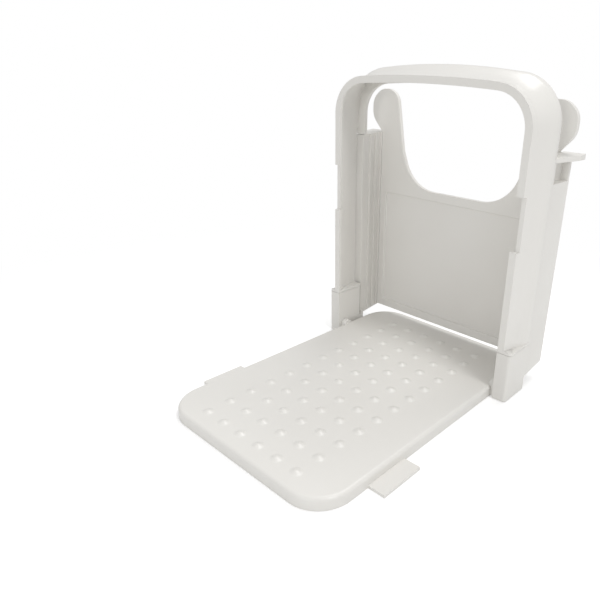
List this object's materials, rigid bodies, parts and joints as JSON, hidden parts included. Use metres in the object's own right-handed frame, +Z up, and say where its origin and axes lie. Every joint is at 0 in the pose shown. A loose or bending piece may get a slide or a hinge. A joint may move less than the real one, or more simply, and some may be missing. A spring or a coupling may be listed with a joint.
{
  "type": "bread slicer guide",
  "caption": "Folding bread slicing guide: ribbed base plate, hinged slotted arch frame with side walls, and a lift-out notched stop plate.",
  "frame": {"origin": "centre of the base plate's underside, on the table", "axes": "+X across the loaf, to the right seen from the loading end; +Y from the loading end to the stop plate; +Z up"},
  "size_m": [0.1832, 0.22, 0.2159],
  "materials": {
    "base_plate": "smooth semi-gloss moulded off-white polypropylene",
    "guide_arch": "smooth semi-gloss moulded off-white polypropylene",
    "left_side_wall": "smooth semi-gloss moulded off-white polypropylene",
    "right_side_wall": "smooth semi-gloss moulded off-white polypropylene",
    "stop_plate": "smooth semi-gloss moulded off-white polypropylene",
    "left_pivot_pin": "smooth semi-gloss moulded off-white polypropylene",
    "right_pivot_pin": "smooth semi-gloss moulded off-white polypropylene"
  },
  "bodies": {
    "base": {"base_plate": "base_plate", "left_pivot_pin": "left_pivot_pin", "right_pivot_pin": "right_pivot_pin"},
    "frame": {"guide_arch": "guide_arch", "left_side_wall": "left_side_wall", "right_side_wall": "right_side_wall"},
    "stop": {"stop_plate": "stop_plate"}
  },
  "joints": [
    {"name": "frame_fold", "type": "hinge", "parent": "base", "child": "frame", "pos_m": [0, 0.0599, 0.0069], "axis": [1, 0, 0], "range_deg": [0, 90]},
    {"name": "stop_lift", "type": "slide", "parent": "frame", "child": "stop", "axis": [0, 0, 1], "range_m": [0, 0.145]}
  ]
}
